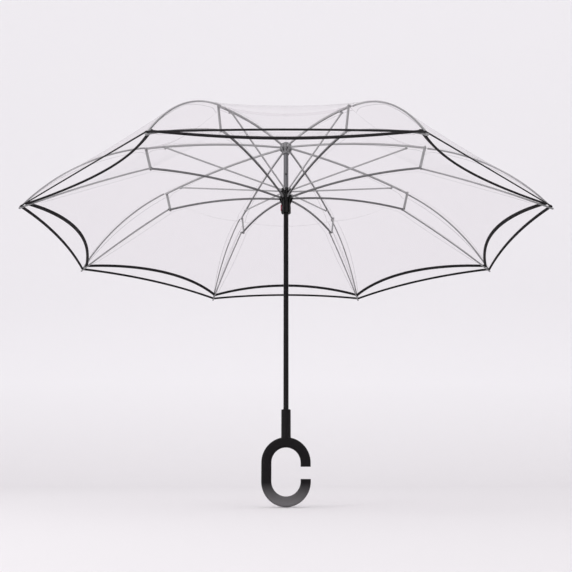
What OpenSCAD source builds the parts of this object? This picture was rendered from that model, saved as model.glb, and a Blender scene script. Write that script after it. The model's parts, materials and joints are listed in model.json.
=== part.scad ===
// Reverse folding umbrella with two clear film layers, eight double ribs and a C handle.
// Millimetres, +Z up along the shaft. The origin is the middle of the handle's stem.

/* [Ribs] */
// Number of ribs
rib_count = 8; // [8]
// Radius from the shaft to each rib tip
tip_r = 530; // [524:1:536]
// Height of the rib tips above the origin
tip_z = 374; // [370:1:378]
// Length of a top strut from the crown pin to the brace rivet
strut_len = 261.5; // [260:0.5:263]
// Length of a top strut past the brace rivet, to the link rivet
strut_over = 39.6; // [38:0.2:41]
// Rise of a top strut's arch above its chord
strut_arch = 8; // [5:0.5:10]
// Length of a lower rib from the runner to the link rivet
lower_rib_len = 281.2; // [280:0.1:282]
// Rise of a lower rib's arch above its chord
lower_rib_arch = 10.5; // [9:0.5:11]
// Length of the short link between a strut and a lower rib
link_len = 43.7; // [43:0.1:45]
// Rise of the upper outer rod's bow above its chord
upper_rod_bow = 24; // [18:0.5:26]
// Rise of the lower outer rod's bow above its chord
lower_rod_bow = 4; // [2:0.5:8]
// Width of the strut and lower rib channels
channel_w = 3.2; // [3:0.1:3.2]
// Height of the strut and lower rib channels
channel_h = 3.4; // [3.2:0.1:3.6]
// Thickness of the flat bars and outer rods
bar_w = 2.4; // [2:0.1:2.4]

/* [Hub] */
// Height of the crown pins above the rib tips
crown_h = 222.5; // [221:0.5:224]
// Height of the runner's brace pins above the rib tips
brace_ring_h = 121; // [120.5:0.5:122]
// Height of the runner's rib pins above the rib tips
rib_ring_h = 104; // [103:0.5:105]
// Radius of the crown pins and brace pins from the shaft's axis
hub_r = 9.5; // [9.5]
// Radius of the rib pins from the shaft's axis
rib_ring_r = 12.5; // [12.5]
// Radius of the shaft
shaft_r = 5.25; // [5:0.05:5.3]
// Length of the runner below its rib pins
runner_drop = 35; // [33:1:36]

/* [Handle] */
// Radius of the handle's stem
stem_r = 9.4; // [9:0.1:9.4]
// Length of the handle's stem above the C
stem_len = 54; // [50:1:56]
// Width of the C
c_w = 96; // [92:1:100]
// Height of the C
c_h = 131; // [128:1:136]
// Width of the C's bar
c_bar = 19.6; // [18:0.1:20]
// Depth of the C's bar, front to back
c_depth = 19; // [18:0.5:21]
// Height of the gap in the C's side
c_gap = 23; // [21:0.5:25]

/* [Film] */
// Thickness of the film
film_t = 0.3; // [0.3:0.05:0.4]
// Thickness of the binding sewn round each film edge
binding_t = 2; // [1:0.1:2]
// Width of that binding
binding_w = 6; // [4:0.5:6]
// Radius of the lower film's hole round the runner
lower_hole_r = 26; // [24:1:30]
// Radius at which the lower film's corners meet the lower outer rods
lower_corner_r = 521; // [505:1:522]
// Inward curve of the upper film's edge between two ribs
upper_scallop = 8; // [4:1:12]
// Inward curve of the lower film's edge between two ribs
lower_scallop = 48; // [35:1:52]

/* [Hidden] */

$fn = 64;
eps = 0.01;
// Radial clearance of a pin in its eye, and of the runner on the shaft
fit = 0.05;
// Side clearance of a rib's part in its slot
slot_gap = 0.3;
pin_r = 1;
pin_hold = 1.3;
eye_r = 2.2;
rivet_head_r = 1.8;
rivet_head_t = 0.5;
plate_gap = 0.2;
// Sheet thickness of a channel
wall = 0.6;
upper_rod_h = 2.4;
lower_rod_h = 2.6;
// Share of an outer rod's length at which the tip cap takes it
rod_end = 0.972;
// Share of the upper rod's length left free at the strut
upper_rod_start = 0.012;
// The channel's hollow, as shares of its length
hollow = [0.04, 0.95];
tip_cap_r = 1.7;
tip_bead_r = 2;
tip_cap_len = 6.5;

// Each rib's parts lie side by side in three planes, given by their distance from the rib's own plane.
channel_y = -1.8;
bar_y = 1.5;
link_y = -5;

// A rib is drawn flat: x is the distance from the shaft, y the height above the tips.
crown_pt = [hub_r, crown_h];
brace_pt = [hub_r, brace_ring_h];
rib_pt = [rib_ring_r, rib_ring_h];
half_gap = (crown_h - brace_ring_h) / 2;
knee = [hub_r + sqrt(strut_len * strut_len - half_gap * half_gap), crown_h - half_gap];
strut_end = crown_pt + (knee - crown_pt) * (strut_len + strut_over) / strut_len;
elbow = circles_meet(rib_pt, lower_rib_len, strut_end, link_len);
tip = [tip_r, 0];

runner_low = rib_ring_h - runner_drop;
runner_top = brace_ring_h + 3.5;
brace_flange_r = 11.9;
rib_flange_r = 15.2;
crown_low = crown_h - 7;
crown_top = crown_h + 5.8;
crown_r = 12.5;
crown_neck_h = 8;
crown_neck_r = [7.6, 10];
// The cap's gap above the crown, then the radii and heights of its rim, its dome and its top
cap_gap = 0.9;
cap_rim = [11.5, 1.6];
cap_dome = [11, 6.5, 3.2];
cap_top = [6.5, 5, 1.2];
// The runner's grip, its bead at the bottom and its waist between the flanges
runner_r = 10;
runner_bead_r = 10.4;
runner_waist_r = 9;
// Reach of a slot past any part of the hub, and its depth behind the pin
past_hub = 9;
slot_depth = 2.6;
shaft_end = crown_top - 2;
shaft_seam = rib_ring_h - 12;
shaft_wall = 0.8;
// Length of the upper shaft's thinner end inside the lower shaft
spigot_len = 30;
stop_pin_h = 158;
stop_pin_r = 2.1;
// The button stands on the far side from the C's gap, between two of the braces' slots
button = [2.4, 4.1, 13];
button_at = [-11.6, -1.65, runner_low + 12];
button_gap = 0.2;
button_pocket = 2.3;
spring_w = 3.6;
spring_span = 9;

stem_top = stem_len / 2;
stem_chamfer = 0.8;
// The stem widens a little over its lowest part, where it grows out of the C
stem_root = 3;
shaft_socket = stem_len - 8;
c_top = -stem_len / 2;
c_end_r = c_w / 2;
c_up = c_top - c_end_r;
c_down = c_top - c_h + c_end_r;
gap_mid = (c_up + c_down) / 2 - 2;
c_corner = 5;

// Clearance between the film and the ribs, and the film's height over each rib part's middle line
film_gap = 0.5;
over_strut = 3.1;
over_upper_rod = 2.6;
under_rib = 3.1;
under_lower_rod = 2.8;
lower_hole_t = (lower_hole_r - rib_ring_r) / (elbow[0] - rib_ring_r);

function length_of(v) = sqrt(v * v);
function angle_of(v) = atan2(v[1], v[0]);

// The lower of the two points where two circles meet
function circles_meet(a, ra, b, rb) =
    let (d = length_of(b - a), u = (b - a) / d)
    let (along = (ra * ra - rb * rb + d * d) / (2 * d))
    a + u * along + [u[1], -u[0]] * sqrt(ra * ra - along * along);

// Radius and centre of the arc that rises by sag above the chord from p to q
function arc_radius(p, q, sag) = let (c = length_of(q - p) / 2) (c * c + sag * sag) / (2 * sag);
function arc_centre(p, q, sag) =
    let (u = (q - p) / length_of(q - p))
    (p + q) / 2 - [-u[1], u[0]] * (arc_radius(p, q, sag) - sag);

// Point at share t along that arc, moved out from its centre by lift
function arc_point(p, q, sag, t, lift = 0) =
    let (c = arc_centre(p, q, sag), r = arc_radius(p, q, sag) + lift)
    let (a = angle_of(p - c), b = angle_of(q - c))
    c + r * [cos(a + (b - a) * t), sin(a + (b - a) * t)];

// ---- shapes in a rib's plane ----

module arc_band(p, q, sag, low, high, from = 0, to = 1) {
    c = arc_centre(p, q, sag);
    r = arc_radius(p, q, sag);
    intersection() {
        difference() {
            translate(c) circle(r + high, $fn = 360);
            translate(c) circle(r + low, $fn = 360);
        }
        polygon([c, for (t = [0:0.25:1]) arc_point(p, q, sag, from + (to - from) * t, 40)]);
    }
}

module bar_2d(p, q, h) {
    translate(p) rotate(angle_of(q - p)) translate([0, -h / 2]) square([length_of(q - p), h]);
    translate(p) circle(h / 2);
    translate(q) circle(h / 2);
}

module place_rib(i) {
    rotate(360 / rib_count * (i - 0.5)) translate([0, 0, tip_z]) children();
}

// Raises a flat shape into the rib's plane, at distance y from it
module in_plane(y, w) {
    translate([0, y, 0]) rotate([90, 0, 0]) linear_extrude(w, center = true) children();
}

// A round solid across the rib's plane, from y0 to y1, at point p
module across(p, r, y0, y1) {
    translate([p[0], y1, p[1]]) rotate([90, 0, 0]) cylinder(r = r, h = y1 - y0);
}

// A rivet through the plates between y0 and y1, with a head past each
module rivet(p, y0, y1) {
    across(p, pin_r, y0 - eps, y1 + eps);
    across(p, rivet_head_r, y0 - rivet_head_t, y0);
    across(p, rivet_head_r, y1, y1 + rivet_head_t);
}

// An arched channel, open underneath, solid at both ends
module channel(p, q, sag) {
    difference() {
        in_plane(channel_y, channel_w) {
            arc_band(p, q, sag, -channel_h / 2, channel_h / 2);
            translate(p) circle(eye_r);
            translate(q) circle(eye_r);
        }
        in_plane(channel_y, channel_w - 2 * wall)
            arc_band(p, q, sag, -channel_h, channel_h / 2 - wall, hollow[0], hollow[1]);
    }
}

// A hole for a pin through everything at point p
module cross_hole(p) {
    across(p, pin_r + fit, -past_hub, past_hub);
}

// ---- ribs ----

module top_strut(i) {
    outer = channel_y - channel_w / 2;
    inner = channel_y + channel_w / 2;
    color("#9c9c9e") place_rib(i) {
        difference() {
            channel(crown_pt, strut_end, strut_arch);
            cross_hole(crown_pt);
        }
        // The brace hangs beside the channel on a lug under it
        in_plane(channel_y, channel_w) bar_2d(knee, knee_on_arch(), 3);
        rivet(knee, outer, bar_y + bar_w / 2 + plate_gap);
        rivet(strut_end, link_y - bar_w / 2 - plate_gap, inner - rivet_head_t);
    }
}

// The brace rivet lies on the chord, just under the arched channel
function knee_on_arch() =
    arc_point(crown_pt, strut_end, strut_arch, strut_len / (strut_len + strut_over), -0.5);

module brace(i) {
    color("#9c9c9e") place_rib(i) difference() {
        in_plane(bar_y, bar_w) {
            bar_2d(brace_pt, knee, 2.6);
            translate(knee) circle(eye_r);
            translate(brace_pt) circle(eye_r);
        }
        cross_hole(knee);
        // The inner eye is an open hook, so that it can leave the runner's pin
        cross_hole(brace_pt);
        in_plane(bar_y, bar_w + 1) hook_mouth(brace_pt);
    }
}

module hook_mouth(p) {
    translate([p[0] - pin_r - fit, p[1]]) square([2 * (pin_r + fit), 2 * eye_r]);
}

module link(i) {
    color("#7c7c7e") place_rib(i) difference() {
        in_plane(link_y, bar_w) bar_2d(strut_end, elbow, 5);
        cross_hole(strut_end);
        cross_hole(elbow);
    }
}

module lower_rib(i) {
    color("#5a5a5c") place_rib(i) {
        difference() {
            channel(rib_pt, elbow, lower_rib_arch);
            cross_hole(rib_pt);
            in_plane(channel_y, channel_w + 1) hook_mouth(rib_pt);
        }
        rivet(elbow, link_y - bar_w / 2 - plate_gap, bar_y + bar_w / 2 + plate_gap);
    }
}

// Two thin rods that meet in the tip cap
module outer_rods(i) {
    color("#8a8a8c") place_rib(i) {
        difference() {
            in_plane(bar_y, bar_w) {
                arc_band(elbow, tip, lower_rod_bow, -lower_rod_h / 2, lower_rod_h / 2, 0, rod_end);
                translate(elbow) circle(eye_r);
            }
            cross_hole(elbow);
        }
        in_plane(bar_y, bar_w)
            arc_band(strut_end, tip, upper_rod_bow, -upper_rod_h / 2, upper_rod_h / 2,
                upper_rod_start, rod_end);
        tip_cap();
    }
}

// Moulded cap: a tapered barrel that takes both rod ends, with a bead at the very tip
module tip_cap() {
    back = tip + [-10, 5];
    slope = angle_of(tip - back);
    translate([tip[0], bar_y, tip[1]]) rotate([0, 90 - slope, 0]) {
        sphere(tip_bead_r);
        translate([0, 0, -tip_cap_len]) cylinder(r = tip_cap_r, h = tip_cap_len);
    }
}

// ---- hub ----

// A cut from radius r outwards for a part of width w at distance y, between two heights
module slot(r, y, w, low, high) {
    translate([r, y - w / 2 - slot_gap, low]) cube([past_hub, w + 2 * slot_gap, high - low]);
}

module crown_pin() {
    across(crown_pt, pin_r, channel_y - 3, channel_y + 3);
}

module runner_pin_pair() {
    rib_slot = channel_w / 2 + slot_gap;
    brace_slot = bar_w / 2 + slot_gap;
    across(rib_pt, pin_r, channel_y - rib_slot - pin_hold, channel_y + rib_slot);
    across(brace_pt, pin_r, bar_y - brace_slot - pin_hold, bar_y + brace_slot + pin_hold);
}

module crown() {
    color("#1a191a") difference() {
        translate([0, 0, tip_z]) union() {
            translate([0, 0, crown_low]) cylinder(r = crown_r, h = crown_top - crown_low);
            translate([0, 0, crown_low - crown_neck_h])
                cylinder(r1 = crown_neck_r[0], r2 = crown_neck_r[1], h = crown_neck_h);
        }
        translate([0, 0, tip_z + crown_low - past_hub])
            cylinder(r = shaft_r, h = shaft_end - crown_low + past_hub);
        for (i = [1:rib_count]) place_rib(i) {
            slot(hub_r - slot_depth, channel_y, channel_w, crown_low - past_hub, crown_h + 3.2);
            crown_pin();
        }
    }
}

module crown_pins() {
    color("#8d8f92") for (i = [1:rib_count]) place_rib(i) crown_pin();
}

module crown_cap() {
    color("#1a191a") translate([0, 0, tip_z + crown_top + cap_gap]) {
        cylinder(r = cap_rim[0], h = cap_rim[1]);
        translate([0, 0, cap_rim[1]]) cylinder(r1 = cap_dome[0], r2 = cap_dome[1], h = cap_dome[2]);
        translate([0, 0, cap_rim[1] + cap_dome[2]])
            cylinder(r1 = cap_top[0], r2 = cap_top[1], h = cap_top[2]);
    }
}

module upper_shaft() {
    low = tip_z + shaft_seam;
    high = tip_z + shaft_end;
    color("#9a9da1") difference() {
        union() {
            translate([0, 0, low]) cylinder(r = shaft_r, h = high - low);
            translate([0, 0, low - spigot_len]) cylinder(r = shaft_r - shaft_wall, h = spigot_len + 1);
        }
        translate([0, 0, low - spigot_len - 1])
            cylinder(r = shaft_r - 2 * shaft_wall, h = high - low + spigot_len + 2);
        translate([0, 0, tip_z + stop_pin_h]) rotate([90, 0, 0])
            cylinder(r = stop_pin_r, h = 4 * shaft_r, center = true);
    }
}

module lower_shaft() {
    high = tip_z + shaft_seam;
    low = stem_top - shaft_socket;
    color("#141314") difference() {
        translate([0, 0, low]) cylinder(r = shaft_r, h = high - low);
        translate([0, 0, low - 1]) cylinder(r = shaft_r - shaft_wall, h = high - low + 2);
    }
}

module stop_pin() {
    color("#0f0f0f") translate([0, 0, tip_z + stop_pin_h]) {
        rotate([90, 0, 0]) cylinder(r = stop_pin_r, h = 2 * shaft_r, center = true);
        for (side = [0, 180])
            rotate(side) translate([0, -shaft_r, 0]) rotate([90, 0, 0]) cylinder(r1 = 2.3, r2 = 1.7, h = 1.1);
    }
}

module runner() {
    flare_low = rib_ring_h - 14;
    color("#161516") difference() {
        translate([0, 0, tip_z]) rotate_extrude() polygon([
            [shaft_r + fit, runner_low], [runner_r, runner_low], [runner_bead_r, runner_low + 1.5],
            [runner_r, flare_low], [rib_flange_r, rib_ring_h - 1], [rib_flange_r, rib_ring_h + 3.5],
            [runner_waist_r, rib_ring_h + 6], [runner_waist_r, brace_ring_h - 5.5],
            [brace_flange_r, brace_ring_h - 4],
            [brace_flange_r, runner_top], [shaft_r + fit, runner_top]]);
        for (i = [1:rib_count]) place_rib(i) {
            // The lower rib's slot is open below, the brace's runs the whole way down
            slot(rib_ring_r - slot_depth, channel_y, channel_w, rib_ring_h - 16, rib_ring_h + 9);
            slot(hub_r - slot_depth, bar_y, bar_w, runner_low - 1, runner_top + 1);
            runner_pin_pair();
        }
        place_button() cube(button + 2 * [button_pocket, button_gap, button_gap], center = true);
    }
}

module runner_pins() {
    color("#8d8f92") for (i = [1:rib_count]) place_rib(i) runner_pin_pair();
}

module place_button() {
    translate([button_at[0] + button[0] / 2, button_at[1], tip_z + button_at[2]]) children();
}

module runner_button() {
    color("#4a1220") place_button() cube(button, center = true);
}

// A thin bowed leaf between the button and the shaft
module button_spring() {
    color("#8d8f92") place_button() translate([button[0] / 2 + 2.1, 0, 0]) rotate([90, 0, 0])
        linear_extrude(spring_w, center = true) rotate(90)
        arc_band([-spring_span / 2, 0], [spring_span / 2, 0], 1.6, -0.15, 0.15);
}

// ---- handle ----

module c_section() {
    x = c_bar / 2 - c_corner;
    y = c_depth / 2 - c_corner;
    square([2 * x, c_depth], center = true);
    square([c_bar, 2 * y], center = true);
    for (sx = [-1, 1])
        for (sy = [-1, 1])
            translate([sx * x, sy * y]) circle(c_corner);
}

module handle() {
    mid_r = c_end_r - c_bar / 2;
    color("#161516") difference() {
        union() {
            translate([0, 0, c_top + stem_root])
                cylinder(r = stem_r, h = stem_len - stem_root - stem_chamfer);
            translate([0, 0, stem_top - stem_chamfer])
                cylinder(r1 = stem_r, r2 = stem_r - stem_chamfer, h = stem_chamfer);
            translate([0, 0, c_top - stem_root])
                cylinder(r1 = stem_r + 0.5, r2 = stem_r + 0.05, h = 2 * stem_root);
            translate([0, 0, c_up]) rotate([90, 0, 0]) rotate_extrude(angle = 180)
                translate([mid_r, 0]) c_section();
            translate([0, 0, c_down]) rotate([-90, 0, 0]) rotate_extrude(angle = 180)
                translate([mid_r, 0]) c_section();
            translate([-mid_r, 0, c_down]) linear_extrude(c_up - c_down) c_section();
            translate([mid_r, 0, gap_mid + c_gap / 2])
                linear_extrude(c_up - gap_mid - c_gap / 2) c_section();
            translate([mid_r, 0, c_down]) linear_extrude(gap_mid - c_gap / 2 - c_down) c_section();
        }
        translate([0, 0, stem_top - shaft_socket]) cylinder(r = shaft_r, h = stem_len);
    }
}

// ---- film ----

// Outline of a film edge: an inward arc between each two ribs
function edge_points(r, scallop, steps = 6) =
    [for (i = [0:rib_count - 1]) for (k = [0:steps - 1])
        let (a = 360 / rib_count, t = 2 * k / steps - 1)
        let (x = r * cos(a / 2) - scallop * (1 - t * t), y = r * sin(a / 2) * t)
        let (turn = a * (i + 1))
        [x * cos(turn) - y * sin(turn), x * sin(turn) + y * cos(turn)]];

// Heights of each layer along a rib, as points from the shaft out
function upper_line(lift) = concat(
    [[6, crown_top + lift], [12.7, crown_top + lift]],
    [for (t = [0.15:0.17:1]) arc_point(crown_pt, strut_end, strut_arch, t, over_strut + lift)],
    [for (t = [0.16:0.16:1]) arc_point(strut_end, tip, upper_rod_bow, t, over_upper_rod + lift)],
    [[tip_r, 2.9 + lift], [tip_r + 14, -3 + lift]]);
function lower_line(lift) = concat(
    [for (t = [lower_hole_t:0.18:0.96]) arc_point(rib_pt, elbow, lower_rib_arch, t, lift - under_rib)],
    [elbow + [2, lift - 3.6]],
    [for (t = [0.25:0.25:1]) arc_point(elbow, tip, lower_rod_bow, t, lift - under_lower_rod)]);

// A shell with flat panels between the ribs, from one height line to the other
module film_shell(below, above) {
    translate([0, 0, tip_z]) rotate(180 / rib_count) rotate_extrude($fn = rib_count)
        polygon(concat(below, [for (i = [len(above) - 1:-1:0]) above[i]]));
}

module inside_edge(r, scallop, inset = 0) {
    translate([0, 0, tip_z - 30]) linear_extrude(300)
        polygon(edge_points(r - inset / cos(180 / rib_count), scallop));
}

module upper_film() {
    color("#e8e6ea", 0.35) intersection() {
        film_shell(upper_line(film_gap), upper_line(film_gap + film_t));
        inside_edge(tip_r, upper_scallop, binding_w);
    }
}

module upper_binding() {
    color("#1a191a") intersection() {
        film_shell(upper_line(film_gap), upper_line(film_gap + binding_t));
        difference() {
            inside_edge(tip_r, upper_scallop);
            inside_edge(tip_r, upper_scallop, binding_w);
        }
    }
}

module lower_film() {
    color("#e8e6ea", 0.35) intersection() {
        film_shell(lower_line(-film_t), lower_line(0));
        inside_edge(lower_corner_r, lower_scallop, binding_w);
    }
}

module lower_binding() {
    color("#1a191a") intersection() {
        film_shell(lower_line(-binding_t), lower_line(0));
        difference() {
            inside_edge(lower_corner_r, lower_scallop);
            inside_edge(lower_corner_r, lower_scallop, binding_w);
        }
    }
}

handle();
lower_shaft();
upper_shaft();
stop_pin();
crown();
crown_pins();
crown_cap();
runner();
runner_pins();
runner_button();
button_spring();
upper_film();
upper_binding();
lower_film();
lower_binding();
for (i = [1:8]) {
    top_strut(i);
    brace(i);
    link(i);
    lower_rib(i);
    outer_rods(i);
}
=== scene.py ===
import json
import math

import bpy
import numpy as np
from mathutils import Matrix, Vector


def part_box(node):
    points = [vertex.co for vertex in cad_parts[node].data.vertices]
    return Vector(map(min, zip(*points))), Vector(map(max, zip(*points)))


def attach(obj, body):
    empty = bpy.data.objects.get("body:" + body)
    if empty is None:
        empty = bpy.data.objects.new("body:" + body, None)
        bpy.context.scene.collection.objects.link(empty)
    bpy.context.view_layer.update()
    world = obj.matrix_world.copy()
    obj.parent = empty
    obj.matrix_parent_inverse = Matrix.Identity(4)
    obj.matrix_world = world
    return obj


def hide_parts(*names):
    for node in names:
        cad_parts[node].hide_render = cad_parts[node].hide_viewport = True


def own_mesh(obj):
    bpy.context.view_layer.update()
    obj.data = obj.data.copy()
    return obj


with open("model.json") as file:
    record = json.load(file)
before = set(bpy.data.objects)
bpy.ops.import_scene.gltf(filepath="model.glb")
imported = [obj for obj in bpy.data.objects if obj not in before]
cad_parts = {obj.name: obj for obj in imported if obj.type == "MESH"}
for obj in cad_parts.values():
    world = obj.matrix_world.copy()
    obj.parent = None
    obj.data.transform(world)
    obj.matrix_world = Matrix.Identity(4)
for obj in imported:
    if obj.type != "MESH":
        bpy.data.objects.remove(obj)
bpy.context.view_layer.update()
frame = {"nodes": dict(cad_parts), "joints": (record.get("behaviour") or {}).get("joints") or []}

nodes = frame["nodes"]
RIBS = range(1, 9)
MM = 0.001


# ---- places read from the frame ----


def joint(name):
    return next(j for j in frame["joints"] if j["name"] == name)


def radius_of(p):
    return math.hypot(p[0], p[1])


def azimuth(i):
    p = joint(f"strut_hinge_{i}")["pos_m"]
    return math.atan2(p[1], p[0])


def out_dir(i):
    a = azimuth(i)
    return np.array([math.cos(a), math.sin(a), 0.0])


def mesh_of(node):
    mesh = nodes[node].data
    points = np.zeros(len(mesh.vertices) * 3)
    mesh.vertices.foreach_get("co", points)
    edges = np.zeros(len(mesh.edges) * 2, int)
    mesh.edges.foreach_get("vertices", edges)
    return points.reshape(-1, 3), edges.reshape(-1, 2)


def envelope(node, i, radii, top):
    """Height of the top or the underside of a node of rib i, at each distance from the shaft."""
    points, edges = mesh_of(node)
    along = points @ out_dir(i)
    a, b = edges[:, 0], edges[:, 1]
    heights = []
    for r in radii:
        across = (along[a] - r) * (along[b] - r) <= 0
        span = along[b] - along[a]
        across &= np.abs(span) > 1e-9
        t = (r - along[a[across]]) / span[across]
        z = points[a[across], 2] * (1 - t) + points[b[across], 2] * t
        heights.append((z.max() if top else z.min()) if len(z) else np.nan)
    return np.array(heights)


TIP_BEAD = 2 * MM  # the tip cap's bead reaches this far past the film's corner
tip_r = float((mesh_of("outer_rods_1")[0] @ out_dir(1)).max()) - TIP_BEAD
tip_z = float(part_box("outer_rods_1")[0].z)
strut_end_r = radius_of(joint("link_hinge_1")["pos_m"])
elbow_r = radius_of(joint("rib_hinge_1")["pos_m"])
crown_edge, crown_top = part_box("crown")[1].x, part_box("crown")[1].z
cap_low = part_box("crown_cap")[0].z
hole_r = float(min(np.hypot(*p[:2]) for p in mesh_of("lower_film")[0]))
lower_corner_r = float((mesh_of("lower_binding")[0] @ out_dir(1)).max())


def soft_step(t):
    t = np.clip(t, 0, 1)
    return t * t * (3 - 2 * t)


def smooth(values, rounds):
    v = np.array(values)
    for _ in range(rounds):
        v[1:-1] = (v[:-2] + 2 * v[1:-1] + v[2:]) / 4
    return v


def filled(radii, heights):
    good = ~np.isnan(heights)
    return np.interp(radii, radii[good], heights[good])


FILM_OFF = 0.9 * MM  # film's distance from the ribs it lies on
UPPER_POINTS, LOWER_POINTS = 266, 240  # along each layer's line
UPPER_ROUNDS, LOWER_ROUNDS = 12, 10  # of smoothing

# Upper layer's line over a rib, from under the crown's cap to the tip
CAP_R = 6 * MM  # the line starts here
CLAMP_PAST = 0.5 * MM  # it stays level this far past the crown's edge
FREE_R = 60 * MM  # the film first touches the strut here
upper_r = np.linspace(CAP_R, tip_r, UPPER_POINTS)
over_strut = envelope("top_strut_1", 1, upper_r, True)
over_rods = envelope("outer_rods_1", 1, upper_r, True)
upper_z = np.where(upper_r < strut_end_r, over_strut, over_rods)
clamped = upper_r < crown_edge + CLAMP_PAST
upper_z[(upper_r > crown_edge) & (upper_r < FREE_R)] = np.nan
upper_z[clamped] = crown_top
upper_z = smooth(filled(upper_r, upper_z), UPPER_ROUNDS) + FILM_OFF
upper_z[clamped] = (crown_top + cap_low) / 2

# Lower layer's line under a rib, from the hole to its corner
lower_r = np.linspace(hole_r, lower_corner_r, LOWER_POINTS)
under_rib = envelope("lower_rib_1", 1, lower_r, False)
under_rods = envelope("outer_rods_1", 1, lower_r, False)
lower_z = np.where(lower_r < elbow_r, under_rib, under_rods)
lower_z = smooth(filled(lower_r, lower_z), LOWER_ROUNDS) - FILM_OFF
# The lower layer's corner is tied to the tip cap, a little above the rod
CORNER_LIFT, CORNER_FROM = 7 * MM, 0.94
lower_z += CORNER_LIFT * soft_step((lower_r / lower_corner_r - CORNER_FROM) / (1 - CORNER_FROM))

# ---- film ----

COLUMNS = 33  # across one half panel, rib to mid-panel
WELD = 4  # the column that carries the weld line, counted from the rib
WELD_SHARE = 0.007  # width of that line, as a share of the half panel
# How far a layer's edge is cut back at mid-panel, and how far it stands above the ribs' line.
# For the lower layer: the mean, and the change round the umbrella.
UPPER_CUT, LOWER_CUT = 8 * MM, (44 * MM, 7 * MM)
UPPER_EDGE, LOWER_EDGE = 8 * MM, (20 * MM, 1.5 * MM)
CUT_FROM, LIFT_FROM = 0.45, 0.6  # shares of the radius where these begin
# Rise at mid-panel, greatest halfway out: the upper film sinks, the lower one lifts a little
UPPER_SAG, LOWER_SAG, SAG_POWER = -15 * MM, 3 * MM, 1.2
# The lower layer's bound edge turns down over this width by this much
HEM, HEM_DROP = 7 * MM, 5 * MM
HEM_ROWS = np.array([5, 3, 1.5, 0]) * MM  # distances of its last rows from the edge
BAND, BAND_MIN, BAND_SHARE_MAX = 13 * MM, 1 * MM, 0.3  # width of the welded band


def layer_point(layer, r_rib, z_rib, i, side, v):
    """Point of a layer at share v of the way from rib i to the middle of the panel on that side."""
    upper = layer == "upper"
    half = math.pi / len(RIBS)
    a = azimuth(i) + side * half
    middle = np.array([math.cos(a), math.sin(a), 0.0])
    u = r_rib / (tip_r if upper else lower_corner_r)
    # The lower film is cut back further at the front and back than at the sides
    cut = UPPER_CUT if upper else LOWER_CUT[0] - LOWER_CUT[1] * math.cos(2 * a)
    edge_z = UPPER_EDGE if upper else LOWER_EDGE[0] + LOWER_EDGE[1] * math.cos(2 * a)
    sag = UPPER_SAG if upper else LOWER_SAG
    hang = 0 if upper else HEM_DROP
    inward = cut * soft_step((u - CUT_FROM) / (1 - CUT_FROM))
    lift = edge_z * soft_step((u - LIFT_FROM) / (1 - LIFT_FROM))
    lift = lift + sag * np.sin(np.pi * np.clip(u, 0, 1)) ** SAG_POWER
    lift = lift - hang * np.clip((u - 1) * lower_corner_r / HEM + 1, 0, 1)
    bow = 1 - (1 - v) ** 2
    rib = r_rib * out_dir(i)
    chord = rib + (r_rib * math.cos(half) * middle - rib) * v
    return chord - middle * inward * bow + np.array([0, 0, z_rib + lift * bow])


def film_grid(layer, i, r_values):
    """Rows of points at these radii, from mid-panel on one side of rib i to mid-panel on the other."""
    line_r, line_z = (upper_r, upper_z) if layer == "upper" else (lower_r, lower_z)
    r_in, r_out = line_r[0], line_r[-1]
    grid = []
    for r in r_values:
        z = float(np.interp(r, line_r, line_z))
        # The welded band beside the rib is narrowest at the shaft and at the tip
        along = min(1, (r - r_in) / (r_out - r_in))
        band = BAND * math.sin(math.pi * along**2) + BAND_MIN
        band_share = band / (r * math.pi / len(RIBS))
        grid.append([layer_point(layer, r, z, i, side, v) for side, v in columns(band_share)])
    return np.array(grid)


def columns(band):
    """Sides and shares of one row's points, with the weld line's column at the band's edge."""
    band = min(band, BAND_SHARE_MAX)
    shares = np.linspace(0, 1, COLUMNS)
    marks = [0, shares[WELD], shares[WELD + 1], 1]
    shares = np.interp(shares, marks, [0, band, band + WELD_SHARE, 1])
    return [(-1, v) for v in shares[:0:-1]] + [(1, v) for v in shares]


def film_normals(layer, i, r_values, grid):
    """Normals of the whole layer, so that its pieces shade as one sheet."""
    line_r = upper_r if layer == "upper" else lower_r
    step = 0.5 * MM
    outer = film_grid(layer, i, np.minimum(r_values + step, line_r[-1]))
    inner = film_grid(layer, i, np.maximum(r_values - step, line_r[0]))
    normals = np.cross(np.gradient(grid, axis=1), outer - inner)
    return normals / np.linalg.norm(normals, axis=2)[:, :, None]


def grid_mesh(name, grid, normals):
    rows, cols = grid.shape[:2]
    points = grid.reshape(-1, 3)
    faces = [
        (r * cols + c, r * cols + c + 1, (r + 1) * cols + c + 1, (r + 1) * cols + c)
        for r in range(rows - 1)
        for c in range(cols - 1)
    ]
    mesh = bpy.data.meshes.new(name)
    mesh.from_pydata([tuple(p) for p in points], [], faces)
    for k, face in enumerate(mesh.polygons):
        face.use_smooth = True
        # 0 is clear film, 1 the welded band beside the rib and 2 the weld line
        from_rib = abs(k % (cols - 1) - cols // 2 + 0.5)
        face.material_index = 0 if from_rib > WELD + 1 else 2 if from_rib > WELD else 1
    mesh.normals_split_custom_set_from_vertices([tuple(n) for n in normals.reshape(-1, 3)])
    obj = bpy.data.objects.new(name, mesh)
    bpy.context.scene.collection.objects.link(obj)
    return obj


# ---- materials ----

GRAIN_DEPTH = 0.2 * MM
CREASE_SCALE, CREASE_STRENGTH, CREASE_DEPTH = 22, 0.35, 3 * MM
RIM_POWER = 16.0  # a higher power makes the film's glossy rim narrower

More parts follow.
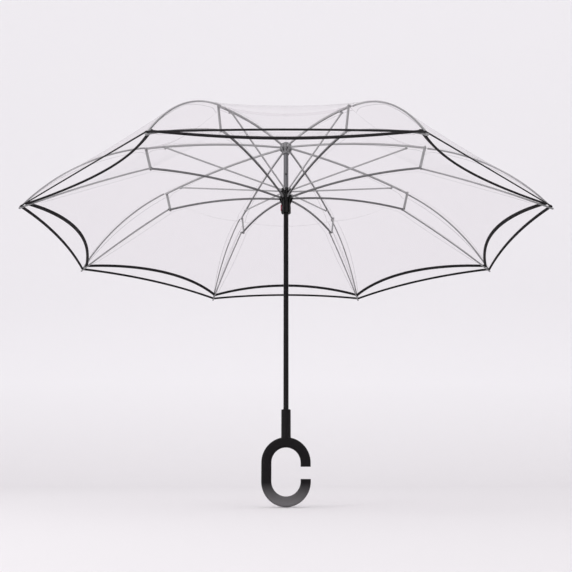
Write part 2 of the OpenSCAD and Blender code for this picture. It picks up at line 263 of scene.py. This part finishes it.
def material(name, color, rough, metal=0.0, noise=None, bump=None, shine=0.3):
    """An opaque finish; noise is (scale, lowest, highest) roughness, and bump is (scale, strength)."""
    m = bpy.data.materials.new(name)
    m.use_nodes = True
    tree = m.node_tree
    shader = tree.nodes["Principled BSDF"]
    shader.inputs["Base Color"].default_value = (*color, 1)
    shader.inputs["Roughness"].default_value = rough
    shader.inputs["Metallic"].default_value = metal
    shader.inputs["Specular IOR Level"].default_value = shine
    if noise:
        scale, low, high = noise
        coords = tree.nodes.new("ShaderNodeTexCoord")
        cloud = tree.nodes.new("ShaderNodeTexNoise")
        cloud.inputs["Scale"].default_value = scale
        cloud.inputs["Detail"].default_value = 5
        span = tree.nodes.new("ShaderNodeMapRange")
        span.inputs["To Min"].default_value = low
        span.inputs["To Max"].default_value = high
        tree.links.new(coords.outputs["Object"], cloud.inputs["Vector"])
        tree.links.new(cloud.outputs["Fac"], span.inputs["Value"])
        tree.links.new(span.outputs["Result"], shader.inputs["Roughness"])
        if bump:
            grain = tree.nodes.new("ShaderNodeTexNoise")
            grain.inputs["Scale"].default_value = bump[0]
            lift = tree.nodes.new("ShaderNodeBump")
            lift.inputs["Strength"].default_value = bump[1]
            lift.inputs["Distance"].default_value = GRAIN_DEPTH
            tree.links.new(coords.outputs["Object"], grain.inputs["Vector"])
            tree.links.new(grain.outputs["Fac"], lift.inputs["Height"])
            tree.links.new(lift.outputs["Normal"], shader.inputs["Normal"])
    return m


def fade_by_height(target, low, high):
    """Base colour that goes from the (height, colour) low to the (height, colour) high."""
    tree = target.node_tree
    coords, split = tree.nodes.new("ShaderNodeTexCoord"), tree.nodes.new("ShaderNodeSeparateXYZ")
    fade, blend = tree.nodes.new("ShaderNodeMapRange"), tree.nodes.new("ShaderNodeMix")
    fade.inputs["From Min"].default_value = low[0]
    fade.inputs["From Max"].default_value = high[0]
    blend.data_type = "RGBA"
    blend.inputs["A"].default_value = (*low[1], 1)
    blend.inputs["B"].default_value = (*high[1], 1)
    tree.links.new(coords.outputs["Object"], split.inputs["Vector"])
    tree.links.new(split.outputs["Z"], fade.inputs["Value"])
    tree.links.new(fade.outputs["Result"], blend.inputs["Factor"])
    tree.links.new(blend.outputs["Result"], tree.nodes["Principled BSDF"].inputs["Base Color"])


def film_material(name, tint, gloss_color, base, rim, rough):
    """Clear film that shows its gloss where it is seen edge-on."""
    m = bpy.data.materials.new(name)
    m.use_nodes = True
    tree = m.node_tree
    tree.nodes.remove(tree.nodes["Principled BSDF"])
    out = tree.nodes["Material Output"]
    clear = tree.nodes.new("ShaderNodeBsdfTransparent")
    clear.inputs["Color"].default_value = (*tint, 1)
    gloss = tree.nodes.new("ShaderNodeBsdfPrincipled")
    gloss.inputs["Base Color"].default_value = (*gloss_color, 1)
    gloss.inputs["Roughness"].default_value = rough
    coords = tree.nodes.new("ShaderNodeTexCoord")
    waves = tree.nodes.new("ShaderNodeTexNoise")
    waves.inputs["Scale"].default_value = CREASE_SCALE
    waves.inputs["Detail"].default_value = 2
    creases = tree.nodes.new("ShaderNodeBump")
    creases.inputs["Strength"].default_value = CREASE_STRENGTH
    creases.inputs["Distance"].default_value = CREASE_DEPTH
    tree.links.new(coords.outputs["Object"], waves.inputs["Vector"])
    tree.links.new(waves.outputs["Fac"], creases.inputs["Height"])
    tree.links.new(creases.outputs["Normal"], gloss.inputs["Normal"])
    weight = tree.nodes.new("ShaderNodeLayerWeight")
    weight.inputs["Blend"].default_value = 0.5
    power = tree.nodes.new("ShaderNodeMath")
    power.operation = "POWER"
    power.inputs[1].default_value = RIM_POWER
    span = tree.nodes.new("ShaderNodeMapRange")
    span.inputs["To Min"].default_value = base
    span.inputs["To Max"].default_value = rim
    mix = tree.nodes.new("ShaderNodeMixShader")
    tree.links.new(weight.outputs["Facing"], power.inputs[0])
    tree.links.new(power.outputs["Value"], span.inputs["Value"])
    tree.links.new(span.outputs["Result"], mix.inputs[0])
    tree.links.new(clear.outputs["BSDF"], mix.inputs[1])
    tree.links.new(gloss.outputs["BSDF"], mix.inputs[2])
    tree.links.new(mix.outputs["Shader"], out.inputs["Surface"])
    return m


film = film_material("film", (0.984, 0.978, 0.982), (0.35, 0.34, 0.35), 0.012, 0.55, 0.12)
seam = film_material("film_seam", (0.975, 0.967, 0.972), (0.4, 0.39, 0.4), 0.015, 0.6, 0.25)
weld = film_material("film_weld", (0.62, 0.61, 0.62), (0.3, 0.3, 0.3), 0.1, 0.6, 0.3)
tape = material("tape", (0.014, 0.013, 0.014), 0.8, noise=(900, 0.7, 0.9), bump=(2500, 0.5), shine=0.15)

paint = {
    "handle": material(
        "handle_plastic", (0.005, 0.004, 0.005), 0.5, noise=(60, 0.42, 0.56), bump=(2200, 0.25), shine=0.12
    ),
    "lower_shaft": material("black_enamel", (0.004, 0.003, 0.004), 0.15, noise=(40, 0.12, 0.18), shine=0.12),
    "upper_shaft": material("plated_steel", (0.13, 0.13, 0.137), 0.35, metal=1.0, noise=(120, 0.3, 0.42)),
    "stop_pin": material("pin_black", (0.01, 0.01, 0.01), 0.5, noise=(300, 0.4, 0.55)),
    "hub_black": material(
        "hub_nylon", (0.006, 0.006, 0.006), 0.5, noise=(150, 0.4, 0.55), bump=(1500, 0.2), shine=0.2
    ),
    "crown_pins": material("pin_steel", (0.5, 0.5, 0.52), 0.3, metal=1.0, noise=(300, 0.25, 0.4)),
    "runner_button": material("button_red", (0.22, 0.012, 0.04), 0.35, noise=(200, 0.3, 0.42)),
    "rib": material("rib_enamel", (0.13, 0.13, 0.133), 0.38, noise=(90, 0.3, 0.45)),
    "link": material("link_grey", (0.28, 0.28, 0.285), 0.4, noise=(90, 0.33, 0.47)),
    "strut": material("strut_grey", (0.35, 0.35, 0.355), 0.42, noise=(90, 0.36, 0.5)),
    "hub_grey": material("hub_grey", (0.22, 0.22, 0.225), 0.5, noise=(150, 0.42, 0.55)),
    "tape": tape,
    "rod": material("rod_fibre", (0.26, 0.26, 0.265), 0.32, noise=(160, 0.26, 0.4)),
}
# The handle's lower bend is painted paler than its stem: painted light, standing in for the bright floor's
# light on its underside
handle_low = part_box("handle")[0].z
fade_by_height(
    paint["handle"],
    (handle_low + 45 * MM, (0.005, 0.004, 0.005)),
    (handle_low + 5 * MM, (0.15, 0.145, 0.15)),
)

# Nodes that take their finish from another entry of paint
same = {
    "crown": "hub_grey",
    "crown_cap": "hub_grey",
    "runner": "hub_black",
    "runner_pins": "crown_pins",
    "button_spring": "crown_pins",
    "upper_binding": "tape",
    "lower_binding": "tape",
    "top_strut": "strut",
    "brace": "strut",
    "lower_rib": "rib",
    "outer_rods": "rod",
}
for name, obj in nodes.items():
    key = name.rstrip("_12345678")
    key = same.get(key, key)
    obj.data.materials.clear()
    obj.data.materials.append(paint.get(key, film))

# ---- film pieces ----

# Layer, body it rides on, inner and outer radius, rows, and the share of its width kept when folded
runs = {
    "upper_film_inner": ("upper", "strut", crown_edge, strut_end_r, 60, 0.2),
    "upper_film_outer": ("upper", "rods", strut_end_r, tip_r, 50, 0.2),
    "lower_film_inner": ("lower", "rib", hole_r, elbow_r, 60, 0.3),
    "lower_film_outer": ("lower", "rods", elbow_r, lower_corner_r, 50, 0.2),
}
for label, (layer, body, r_from, r_to, rows, keep) in runs.items():
    for i in RIBS:
        r_values = np.linspace(r_from, r_to, rows)
        if label == "lower_film_outer":
            flat_rows = np.linspace(r_from, r_to - HEM, rows - len(HEM_ROWS))
            r_values = np.append(flat_rows, r_to - HEM_ROWS)
        grid = film_grid(layer, i, r_values)
        obj = grid_mesh(f"{label}_{i}", grid, film_normals(layer, i, r_values, grid))
        for look in (film, seam, weld):
            obj.data.materials.append(look)
        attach(obj, f"{body}_{i}")
        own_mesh(obj)

# A small round piece of the upper film under the crown's cap
disc_r = crown_edge
mesh = bpy.data.meshes.new("upper_film_centre")
ring = 64
height = float(upper_z[0])
points = [(0, 0, height)] + [
    (disc_r * math.cos(2 * math.pi * k / ring), disc_r * math.sin(2 * math.pi * k / ring), height)
    for k in range(ring)
]
mesh.from_pydata(points, [], [(0, 1 + k, 1 + (k + 1) % ring) for k in range(ring)])
mesh.materials.append(film)
centre = bpy.data.objects.new("upper_film_centre", mesh)
bpy.context.scene.collection.objects.link(centre)
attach(centre, "root")
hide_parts("upper_film")
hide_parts("lower_film")

# ---- bindings ----

TAPE_REACH = 6 * MM  # the tape's width points at the film this far inside its edge
# Width and half thickness of each tape, and its cross-section as shares of them
TAPE_SIZE = {"upper": (5.0 * MM, 1.0 * MM), "lower": (6.6 * MM, 1.9 * MM)}
TAPE_OUTLINE = [(-0.1, 0), (0, 0.8), (0.25, 1), (0.8, 0.75), (1, 0), (0.8, -0.75), (0.25, -1), (0, -0.8)]


def edge_line(layer, i):
    return film_grid(layer, i, [(upper_r if layer == "upper" else lower_r)[-1]])[0]


def unit(rows):
    return rows / np.linalg.norm(rows, axis=1)[:, None]


def binding(layer, i, side):
    """A folded tape along the film's edge, from rib i to the middle of the panel on that side."""
    name = f"{layer}_binding_{i}_{'left' if side > 0 else 'right'}"
    full_r = tip_r if layer == "upper" else lower_corner_r
    half = slice(COLUMNS - 1, None, side)  # columns from the rib outwards
    line = edge_line(layer, i)[half]
    tangent = unit(np.gradient(line, axis=0))
    inward = unit(film_grid(layer, i, [full_r - TAPE_REACH])[0][half] - line)
    inward = unit(inward - (inward * tangent).sum(1)[:, None] * tangent)
    normal = np.cross(tangent, inward)
    wide, thick = TAPE_SIZE[layer]
    points = [
        tuple(p + n * a * wide + m * b * thick)
        for p, n, m in zip(line, inward, normal)
        for a, b in TAPE_OUTLINE
    ]
    k, last = len(TAPE_OUTLINE), len(line) - 1
    faces = [
        (c * k + s, c * k + (s + 1) % k, (c + 1) * k + (s + 1) % k, (c + 1) * k + s)
        for c in range(last)
        for s in range(k)
    ]
    faces += [tuple(range(k))[::-1], tuple(last * k + s for s in range(k))]
    mesh = bpy.data.meshes.new(name)
    mesh.from_pydata(points, [], faces)
    for face in mesh.polygons:
        face.use_smooth = len(face.vertices) == 4
    mesh.materials.append(tape)
    obj = bpy.data.objects.new(name, mesh)
    bpy.context.scene.collection.objects.link(obj)
    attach(obj, f"rods_{i}")
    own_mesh(obj)
    return obj


for i in RIBS:
    for layer in ("upper", "lower"):
        halves = [binding(layer, i, side) for side in (-1, 1)]
        if i == 1:
            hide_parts(f"{layer}_binding")

# ---- floor and backdrop ----

FLOOR_GAP = 0.5 * MM  # between the handle and the floor
floor_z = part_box("handle")[0].z - FLOOR_GAP
paper = material("paper", (0.86, 0.845, 0.86), 0.9)
# Painted shade: the paper is coloured darker on the floor than on the wall, for the light falling off
# towards the floor
FLOOR_COLOR_WITH_PAINTED_SHADE, WALL_COLOR, FADE_H = (0.76, 0.742, 0.758), (0.865, 0.855, 0.875), 0.7
fade_by_height(paper, (floor_z, FLOOR_COLOR_WITH_PAINTED_SHADE), (floor_z + FADE_H, WALL_COLOR))
# A floor that curves up into a wall: where the curve starts, its radius, and the wall's height
SWEEP_Y, SWEEP_R, WALL_H = 2.4, 1.4, 6.0
FLOOR_FRONT, HALF_WIDTH = -7.0, 8
rows = [(FLOOR_FRONT, 0.0)]
rows += [
    (SWEEP_Y + SWEEP_R * math.sin(a), SWEEP_R - SWEEP_R * math.cos(a))
    for a in np.linspace(0, math.pi / 2, 24)
]
rows += [(SWEEP_Y + SWEEP_R, WALL_H)]
mesh = bpy.data.meshes.new("backdrop")
mesh.from_pydata(
    [(x, y, floor_z + z) for y, z in rows for x in (-HALF_WIDTH, HALF_WIDTH)],
    [],
    [(2 * k, 2 * k + 1, 2 * k + 3, 2 * k + 2) for k in range(len(rows) - 1)],
)
for face in mesh.polygons:
    face.use_smooth = True
mesh.materials.append(paper)
backdrop = bpy.data.objects.new("backdrop", mesh)
bpy.context.scene.collection.objects.link(backdrop)

# ---- light ----


def area_light(name, place, aim, wide, high, watts):
    data = bpy.data.lights.new(name, "AREA")
    data.shape, data.size, data.size_y = "RECTANGLE", wide, high
    data.energy = watts
    obj = bpy.data.objects.new(name, data)
    obj.location = place
    obj.rotation_mode = "QUATERNION"
    obj.rotation_quaternion = (Vector(aim) - Vector(place)).to_track_quat("-Z", "Y")
    bpy.context.scene.collection.objects.link(obj)


world = bpy.data.worlds.new("studio")
bpy.context.scene.world = world
world.use_nodes = True
world.node_tree.nodes["Background"].inputs["Color"].default_value = (1, 0.985, 1, 1)
world.node_tree.nodes["Background"].inputs["Strength"].default_value = 1.06
area_light("key", (-1.5, -1.3, 1.9), (0, 0, 0.1), 0.4, 0.4, 8)
area_light("strip", (-1.15, -1.35, 0.35), (0, 0, 0.2), 0.14, 1.3, 4)
bpy.context.scene.view_settings.view_transform = "Standard"

# ---- camera ----

cam_data = bpy.data.cameras.new("camera")
cam_data.lens, cam_data.sensor_width = 43.8, 36
camera = bpy.data.objects.new("camera", cam_data)
# Low in front of the umbrella and tilted up, at distances given as shares of the tip radius
CAMERA_BACK, CAMERA_DROP, CAMERA_TILT = 2.639, 0.896, 15.29
camera.location = (0, -CAMERA_BACK * tip_r, tip_z + TIP_BEAD - CAMERA_DROP * tip_r)
camera.rotation_euler = (math.radians(90 + CAMERA_TILT), 0, 0)
bpy.context.scene.collection.objects.link(camera)
bpy.context.scene.camera = camera
